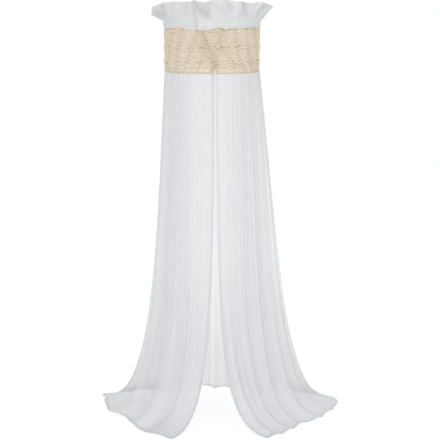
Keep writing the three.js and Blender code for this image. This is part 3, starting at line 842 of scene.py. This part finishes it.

# %% [markdown]
# The frill is one sheet that starts under the casing, as the lip over the band, goes up round the
# tunnel's outside and opens above it to the rim. Fine pleats run through it all and are deepest at
# the tunnel. Its painted shading attribute holds painted shade: in the pleats' hollows near the
# neck, in the soft folds, in the valleys between the lobes and in the hollow under a curl.

# %% Frill
FRILL_SHELL = 0.0012
FRILL_HEIGHT, FRILL_FLARE = 0.078, 0.047
ROLL_SHARE = 0.7  # of a lobe's curl, by which it also rolls outwards before it falls
NECK_SHARE = 0.62  # of the way down the sheet, where the opened part ends
NECK_RISE = 0.0024  # of the neck above the frill's solid
TUNNEL_BULGE = 0.0035
SEAT = 0.0022  # how far the sheet stands off the hoop's radius above and below the tunnel
FINE_PLEATS, FINE_PLEAT_HEIGHT = 46, 0.0010
LIP_UNEVEN, LIP_PLEAT = 0.0010, 0.0006
PRESSED_HEIGHT = 0.0052  # above and below the hoop, over which the tunnel pushes the sheet out
SOFT_FOLDS, SOFT_FOLD_HEIGHT = 8, 0.0034
OVERLAP_RIM_WRAPS = (162, 180)  # over which the left rim goes behind the right one
# How much painted shade each form brings, as a share of the shade colour; a curl's is multiplied by
# how much it curls
FOLD_SHADE, VALLEY_SHADE, PLEAT_SHADE, CURL_SHADE = 0.5, 0.5, 0.14, 2.6
NECK_SPREAD = 0.12  # of the sheet's depth, over which the pleats' painted shade fades from the neck
CURL_PLACE, CURL_SPREAD = 0.30, 0.17  # how far up the ruffle a curl's painted shade lies, and its spread
HEADING_FLAT = (0.78, 0.10)
HEADING_COVER = 0.95


def frill_pleats(half, along, down):
    """The fine pleats and how strong they are, and the soft folds that grow out of them."""
    wander = drift(half["seed"] + 3, along, 0.3 * down)
    strength = 0.5 + 0.5 * np.abs(drift(half["seed"] + 4, along, down))
    bend = 3 * drift(half["seed"] + 5, along, down)
    soft = np.sin(2 * np.pi * SOFT_FOLDS * along + bend) * (0.4 + np.abs(bend) / 2)
    return np.sin(2 * np.pi * FINE_PLEATS * along + 2.5 * wander), strength, soft


def frill_places(half, rim, along, down):
    """The wrap of each place, its wrap in the rim's tables, and how far up the ruffle it is."""
    opened = np.clip(1 - down / NECK_SHARE, 0, 2)
    wrap = along * mix(half["edge_hoop"], half["edge_top"], opened)
    return wrap, wrap + between(rim["wraps"], rim["leans"], wrap) * opened, opened


def frill_surface(name, half):
    rim = RIMS[name]
    neck = FRILL_FOOT + NECK_RISE

    def surface(along, down):
        lower = np.clip((down - NECK_SHARE) / (1 - NECK_SHARE), 0, 2)
        wrap, place, opened = frill_places(half, rim, along, down)
        out, up, curl = (
            between(rim["wraps"], rim[key], place) for key in ("outs", "rises", "curls")
        )
        wave, strength, soft = frill_pleats(half, along, down)
        uneven = LIP_UNEVEN * drift(half["seed"] + 6, along * 3, 0 * down) + LIP_PLEAT * wave
        drop = between(*LIPS[name], wrap) / 1000 + uneven
        arch = curl * np.sin(np.pi * np.clip(opened, 0, 1.2))
        rise = FRILL_HEIGHT * (up * opened + arch) - NECK_RISE * opened
        height = np.where(lower > 0, mix(neck, -drop, lower), neck + rise)
        pressed = np.exp(-((height / PRESSED_HEIGHT) ** 2)) * (opened < 0.3)
        pleat = FINE_PLEAT_HEIGHT * (1 - smooth(0, 0.45, opened)) * (1 - 0.7 * pressed)
        flare = FRILL_FLARE * out * (opened**0.85 + ROLL_SHARE * arch)
        radius = HOOP_RADIUS + layer_lift(half, wrap) + SEAT + TUNNEL_BULGE * pressed + flare
        ripple = (pleat * wave * strength + SOFT_FOLD_HEIGHT * opened * soft) * calm(half, wrap)
        return around(half, wrap, radius + ripple, height)

    return surface


def frill_painted_shade(name, half):
    rim = RIMS[name]

    def painted_shading(along, down):
        wave, strength, soft = frill_pleats(half, along, down)
        wrap, place, opened = frill_places(half, rim, along, down)
        near = np.exp(-(((down - NECK_SHARE) / NECK_SPREAD) ** 2))
        out, curl = (between(rim["wraps"], rim[key], place) for key in ("outs", "curls"))
        valley = smooth(0.62, 0.10, out) * smooth(0.0, 0.5, opened)
        if name == "left":
            valley = valley * (1 - smooth(*OVERLAP_RIM_WRAPS, wrap))
        curled = curl * np.exp(-(((opened - CURL_PLACE) / CURL_SPREAD) ** 2))
        pleat = PLEAT_SHADE * near * np.clip(-wave, 0, 1) * strength
        fold = FOLD_SHADE * smooth(0.05, 0.5, opened) * np.clip(-soft, 0, 1)
        # Painted shade in the pleats' hollows near the neck, in the soft folds, in the lobes'
        # valleys and under the curls
        return pleat + fold + VALLEY_SHADE * valley + CURL_SHADE * curled

    return painted_shading


for name, half in HALVES.items():
    made = cloth_shell(
        f"frill_ruffle_{name}", frill_surface(name, half), *grid(460, 46), FRILL_SHELL,
        HEADING_FLAT, HEADING_COVER, frill_painted_shade(name, half),
    )
    made.data.materials.append(HEADING)
    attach(made, "crown")
    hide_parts(f"frill_{name}")
    print_size(made)

# %% [markdown]
# The casing is the tunnel that the hoop runs in. It is drawn up tightly, so small pleats run round
# it, and two rows of stitching close it above and below.

# %% Casing
CASING_SHELL = 0.0006
CASING_PLEATS, CASING_PLEAT_HEIGHT = 62, 0.00012
TUNNEL_EASE = 0.0017  # the drawn-up tunnel is this much slimmer than its solid
BLOCK_EDGE_WRAP = 8.6  # where the tunnel starts, just past the block
MEETING_WRAP = 179.9
CASING_FLAT = (0.52, 0.032)


def casing_surface(half):
    def surface(along, down):
        turn = 2 * np.pi * down + np.pi / 2
        wrap = mix(BLOCK_EDGE_WRAP, MEETING_WRAP, along)
        wander = drift(half["seed"] + 7, along, 0 * down)
        wave = np.sin(2 * np.pi * CASING_PLEATS * along + 3 * wander)
        size = CASING_RADIUS - TUNNEL_EASE + CASING_PLEAT_HEIGHT * wave
        return around(half, wrap, HOOP_RADIUS + size * np.cos(turn), size * np.sin(turn))

    return surface


for name, half in HALVES.items():
    along, down = np.meshgrid(np.linspace(0, 1, 421), np.linspace(0, 1, 21)[:-1])
    made = cloth_shell(
        f"casing_tunnel_{name}", casing_surface(half), along, down, CASING_SHELL, CASING_FLAT,
        HEADING_COVER, tunnel=True,
    )
    made.data.materials.append(HEADING)
    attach(made, "crown")
    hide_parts(f"casing_{name}")
    print_size(made)

# %% [markdown]
# The band is crinkled cotton, drawn up in three tiers. The crinkles run round the crown as short
# uneven ridges, strongest at the rows of gathering thread. Light is painted on their ridges and
# shade in their hollows and in the troughs of the upright waves.

# %% Crinkled band
BAND_SHELL = 0.0010
TIERS = [0.05, 0.45, 0.80]  # shares of the band's height, where the rows of thread run
TIER_SPREAD = 0.085  # of that height, over which the crinkles fade from a row
TIER_PUFF = 0.0018
RIDGES, LEAST_RIDGE, RIDGE_HEIGHT = 14, 0.0002, 0.0013
BASE_RIDGE = 0.18  # a ridge's strength between the rows of thread
UPRIGHTS, UPRIGHT_HEIGHT = 11, 0.0009
# Painted light on the crinkles' ridges, painted shade in their hollows and in the upright waves'
# troughs, and a dark line beside the front edge
RIDGE_PAINTED_LIGHT, RIDGE_PAINTED_SHADE, UPRIGHT_PAINTED_SHADE, EDGE_DARK = 0.25, 0.78, 0.26, 0.33
EDGE_LINE_STARTS, EDGE_LINE_ENDS = (0.972, 0.984), (0.99, 1)  # shares along, by the front edge
BAND_FLAT = (0.70, 0.16)
BAND_COVERS = {
    "left": ([0, 0.45, 0.50, 0.56, 0.78, 0.80, 1], [0.80, 0.80, 0.72, 0.93, 0.94, 0.82, 0.84]),
    "right": ([0, 0.45, 0.50, 0.56, 0.79, 0.81, 1], [0.80, 0.80, 0.72, 0.93, 0.94, 0.82, 0.80]),
}


def crinkles(half, along, down):
    """The short wavy ridges and the upright waves, from -1 to 1, and how strong the ridges are."""
    near = sum(np.exp(-(((down - tier) / TIER_SPREAD) ** 2)) for tier in TIERS)
    slow = drift(half["seed"] + 21, along * 3, down)
    quick = drift(half["seed"] + 22, along * 7, down * 2)
    ridges = np.sin(2 * np.pi * (RIDGES * down + 0.8 * slow + 0.3 * quick))
    short = np.clip(0.6 + 2.2 * drift(half["seed"] + 23, along * 5, down * 4), 0, 1.4)
    upright = np.sin(2 * np.pi * UPRIGHTS * along + 3 * slow)
    return ridges, (BASE_RIDGE + near) * short, upright


def band_surface(half):
    height = BAND_TOP - BAND_FOOT

    def surface(along, down):
        wrap = along * mix(half["edge_hoop"], half["edge_band"], down)
        puff = TIER_PUFF * np.abs(np.sin(len(TIERS) * np.pi * down))
        ridges, strength, upright = crinkles(half, along, down)
        crinkle = (LEAST_RIDGE + RIDGE_HEIGHT * strength) * ridges
        wave = UPRIGHT_HEIGHT * upright * calm(half, wrap)
        radius = HOOP_RADIUS + puff + layer_lift(half, wrap) + crinkle + wave
        return around(half, wrap, radius, BAND_TOP - height * down)

    return surface


def band_painted_shading(half):
    def painted_shading(along, down):
        ridges, strength, upright = crinkles(half, along, down)
        # pale is light painted on the ridges; the rest is shade painted in the hollows and upright
        # troughs, and the dark edge line
        pale = RIDGE_PAINTED_LIGHT * strength * np.clip(ridges, 0, 1)
        dark = RIDGE_PAINTED_SHADE * strength * np.clip(-ridges, 0, 1) ** 1.3
        line = smooth(*EDGE_LINE_STARTS, along) * (1 - smooth(*EDGE_LINE_ENDS, along))
        upright_painted_shade = UPRIGHT_PAINTED_SHADE * np.clip(-upright, 0, 1)
        return np.clip(dark - pale + upright_painted_shade + EDGE_DARK * line, -0.3, 1)

    return painted_shading


def band_cover(name):
    return lambda along, down: between(*BAND_COVERS[name], along)


for name, half in HALVES.items():
    made = cloth_shell(
        f"crinkled_band_{name}", band_surface(half), *grid(360, 120), BAND_SHELL, BAND_FLAT,
        band_cover(name), band_painted_shading(half),
    )
    made.data.materials.append(CRINKLE)
    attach(made, "crown")
    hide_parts(f"band_{name}")
    print_size(made)

# %% [markdown]
# The binding is a folded tape over the band's foot, sewn through, so it dips at each stitch. It
# belongs to the band's sheet of cloth.

# %% Binding
BINDING_SHELL = 0.0022
BINDING_BULGE = 0.0004
BINDING_STITCHES, STITCH_DIP = 60, 0.0003
BINDING_FLAT = (0.50, 0.006)
BINDING_COVER = 0.97


def binding_surface(half):
    def surface(along, down):
        wrap = along * half["edge_band"]
        dips = STITCH_DIP * np.sin(2 * np.pi * BINDING_STITCHES * along)
        bulge = BINDING_BULGE * np.sin(np.pi * down) + dips
        radius = HOOP_RADIUS + layer_lift(half, wrap) + bulge
        return around(half, wrap, radius, mix(BINDING_TOP, BINDING_FOOT, down))

    return surface


for name, half in HALVES.items():
    made = cloth_shell(
        f"binding_tape_{name}", binding_surface(half), *grid(300, 6), BINDING_SHELL, BINDING_FLAT,
        BINDING_COVER,
    )
    made.data.materials.append(TAPE)
    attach(made, "crown")
    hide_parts(f"band_binding_{name}")
    print_size(made)

# %% [markdown]
# Stitches repeat along a path, so Geometry Nodes lay them: the path is cut into equal steps, and a
# short plump thread is set on each, turned along the path. The result becomes a plain mesh.

# %% Stitch tree
THREAD = hard_finish("sewing_thread", (0.84, 0.84, 0.84), (0.66, 0.66, 0.67), 0.0004, 0.00003, 0.8)
TAN_THREAD = hard_finish("tan_thread", (0.80, 0.66, 0.48), (0.62, 0.47, 0.31), 0.0004, 0.00003, 0.8)


def stitch_tree():
    tree = bpy.data.node_groups.new("stitch_row", "GeometryNodeTree")
    for title, kind, value in (
        ("Geometry", "NodeSocketGeometry", None), ("Pitch", "NodeSocketFloat", 0.004),
        ("Stitch Length", "NodeSocketFloat", 0.0026), ("Thread Radius", "NodeSocketFloat", 0.00025),
        ("Seed", "NodeSocketInt", 7), ("Thread", "NodeSocketMaterial", None),
    ):
        socket = tree.interface.new_socket(title, in_out="INPUT", socket_type=kind)
        if value is not None:
            socket.default_value = value
    tree.interface.new_socket("Geometry", in_out="OUTPUT", socket_type="NodeSocketGeometry")
    given, gives = tree.nodes.new("NodeGroupInput"), tree.nodes.new("NodeGroupOutput")

    def step(kind, **values):
        return add(tree, "GeometryNode" + kind, **values)

    path = step("MeshToCurve", Mesh=given.outputs["Geometry"]).outputs[0]
    places = step("CurveToPoints", mode="LENGTH", Curve=path, Length=given.outputs["Pitch"])
    ends = []
    for side in (-0.5, 0.5):
        reach = math_node(tree, "MULTIPLY", given.outputs["Stitch Length"], side)
        ends.append(add(tree, "ShaderNodeCombineXYZ", Z=reach).outputs[0])
    line = step("CurvePrimitiveLine", Start=ends[0], End=ends[1]).outputs[0]
    finer = step("ResampleCurve", Count=5, Curve=line).outputs[0]
    along = step("SplineParameter")
    arch = math_node(tree, "SINE", math_node(tree, "MULTIPLY", along.outputs["Factor"], math.pi))
    plump = math_node(tree, "ADD", math_node(tree, "MULTIPLY", arch, 0.6), 0.4)
    size = math_node(tree, "MULTIPLY", plump, given.outputs["Thread Radius"])
    ring = step("CurvePrimitiveCircle", Resolution=6, Radius=1.0).outputs[0]
    body = step("CurveToMesh", Fill_Caps=True, Curve=finer, Profile_Curve=ring, Scale=size)
    uneven = add(tree, "FunctionNodeRandomValue", _2=0.85, _3=1.12, Seed=given.outputs["Seed"])
    laid = step(
        "InstanceOnPoints", Points=places.outputs["Points"], Instance=body.outputs[0],
        Rotation=places.outputs["Rotation"], Scale=uneven.outputs[1],
    )
    real = step("RealizeInstances", Geometry=laid.outputs[0])
    painted = step("SetMaterial", Geometry=real.outputs[0], Material=given.outputs["Thread"])
    tree.links.new(painted.outputs[0], gives.inputs[0])
    return tree


STITCHES = stitch_tree()
print("stitch tree", len(STITCHES.nodes), "nodes")

# %% [markdown]
# A row of stitches starts as a plain line of points on a sheet's outer face, so the thread lies on
# the cloth. The tree runs on that line as a modifier, and what it makes is copied to a plain mesh.

# %% Rows of stitches
def stitch_rows(name, paths, thread, **sizes):
    """Stitches along rows of points, as one plain mesh."""
    points, edges = [], []
    for row in paths:
        edges += [(len(points) + i, len(points) + i + 1) for i in range(len(row) - 1)]
        points += [tuple(point) for point in row]
    rail = mesh_object(name + "_path", points, [], edges)
    modifier = rail.modifiers.new("stitches", "NODES")
    modifier.node_group = STITCHES
    values = {"Thread": thread, **{key.replace("_", " "): value for key, value in sizes.items()}}
    for item in STITCHES.interface.items_tree:
        if item.name in values and item.in_out == "INPUT":
            modifier[item.identifier] = values[item.name]
    evaluated = rail.evaluated_get(bpy.context.evaluated_depsgraph_get())
    made = bpy.data.objects.new(name, bpy.data.meshes.new_from_object(evaluated))
    bpy.context.scene.collection.objects.link(made)
    bpy.data.objects.remove(rail)
    turn_outward(made)
    made.data.shade_smooth()
    print(name, len(made.data.polygons), "faces")
    return made


def sewn_on(surface, half, along, down, stand_off):
    """Points on the outer face of a sheet."""
    along, down = np.broadcast_arrays(along, down)
    outward = normals_of(surface, along, down) * half["side"]
    return surface(along, down) + outward * stand_off


def down_at_height(surface, along, first, height):
    """How far down a sheet lies at a given height, searched from one share to its foot."""
    down = np.linspace(first, 1, 160)
    heights = surface(*np.meshgrid(along, down))[..., 2]
    return np.array([np.interp(-height, -column, down) for column in heights.T])


# %% [markdown]
# The casing is sewn above and below the hoop, the band is shirred on rows of thread, of which the
# highest lies under the frill's lip, the binding is sewn through once, and every hem has one row.

# %% Stitches
SEAM_RISE = 0.0066  # of the casing's two seams, above and below the hoop
HEM_SEAM_SHARE = 0.82  # of a hem's width, at which its seam lies

for name, half in HALVES.items():
    along = np.linspace(0.004, 0.996, 300)
    heading = frill_surface(name, half)
    rows = []
    for height in (SEAM_RISE, -SEAM_RISE):
        down = down_at_height(heading, along, NECK_SHARE, height)
        rows.append(sewn_on(heading, half, along, down, FRILL_SHELL / 2))
    seams = [(stitch_rows(f"casing_seams_{name}", rows, THREAD), "header")]
    shirred = band_surface(half)
    rows = [sewn_on(shirred, half, along, 0 * along + tier, BAND_SHELL / 2) for tier in TIERS[1:]]
    shirring = stitch_rows(f"shirring_{name}", rows, TAN_THREAD, Pitch=0.0052, Stitch_Length=0.0036)
    seams.append((shirring, "crinkle"))
    tape = binding_surface(half)
    rows = [sewn_on(tape, half, along, 0 * along + 0.5, BINDING_SHELL / 2)]
    seams.append((stitch_rows(f"binding_seam_{name}", rows, TAN_THREAD), "tape"))
    for made, slot in seams:
        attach(made, "crown")
    drape = drape_surface(half)
    across, down = edge_strip(half, EDGE_HEM * HEM_SEAM_SHARE, 260)
    edge_row = sewn_on(drape, half, across[:, :1], down, HEM_SHELL / 2)[:, 0]
    along, down = foot_strip(half, FOOT_HEM * HEM_SEAM_SHARE, 360)
    foot_row = sewn_on(drape, half, along[:1], down[:1], HEM_SHELL / 2)[0]
    made = stitch_rows(f"hem_seams_{name}", [edge_row, foot_row], THREAD)
    blend_front(made)

# %% [markdown]
# The bracket, block and screws get copies of their solids with the edges broken, as paint and
# moulding leave them. The hoop and its pin are plain bent steel and keep their solids.

# %% Hardware
SHARP_ANGLE = math.radians(30)
ROUND_ANGLE = math.radians(38)
FLAT_ANGLE = math.radians(0.5)  # below which two facets are one
MERGE_DISTANCE = 1e-6


def softened_copy(node, name, width, finish):
    """A merged copy of a solid with its sharp edges bevelled."""
    made = bpy.data.objects.new(name, frame["nodes"][node].data.copy())
    bpy.context.scene.collection.objects.link(made)
    work = bmesh.new()
    work.from_mesh(made.data)
    bmesh.ops.remove_doubles(work, verts=work.verts, dist=MERGE_DISTANCE)
    bmesh.ops.dissolve_limit(work, angle_limit=FLAT_ANGLE, verts=work.verts, edges=work.edges)
    closed = [edge for edge in work.edges if edge.is_manifold]
    sharp = [edge for edge in closed if edge.calc_face_angle() > SHARP_ANGLE]
    bmesh.ops.bevel(
        work, geom=sharp, offset=width, segments=2, profile=0.5, affect="EDGES", clamp_overlap=True
    )
    work.to_mesh(made.data)
    work.free()
    made.data.materials.clear()
    made.data.materials.append(finish)
    made.data.set_sharp_from_angle(angle=ROUND_ANGLE)
    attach(made, "crown")
    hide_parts(node)
    print(name, len(made.data.polygons), "faces")


softened_copy("wall_plate", "bracket_plate", 0.0006, ENAMEL)
softened_copy("bracket_column", "bracket_arm", 0.0004, ENAMEL)
softened_copy("hoop_block", "hoop_holder", 0.0007, MOULDING)
softened_copy("centre_bolt", "arm_bolt", 0.0002, ZINC)
for side in ("left", "right"):
    softened_copy(f"clamp_screw_{side}", f"hoop_screw_{side}", 0.00015, ZINC)
for node in ("hoop_pin", "hoop_left", "hoop_right"):
    solid = frame["nodes"][node]
    solid.data.materials.clear()
    solid.data.materials.append(ZINC)

# %% [markdown]
# Sheer cloth lies in many layers, so a ray may pass through more of them than usual.

# %% Finish
LAYERS_SEEN_THROUGH = 64
bpy.context.scene.view_settings.view_transform = "Standard"
bpy.context.scene.cycles.transparent_max_bounces = LAYERS_SEEN_THROUGH
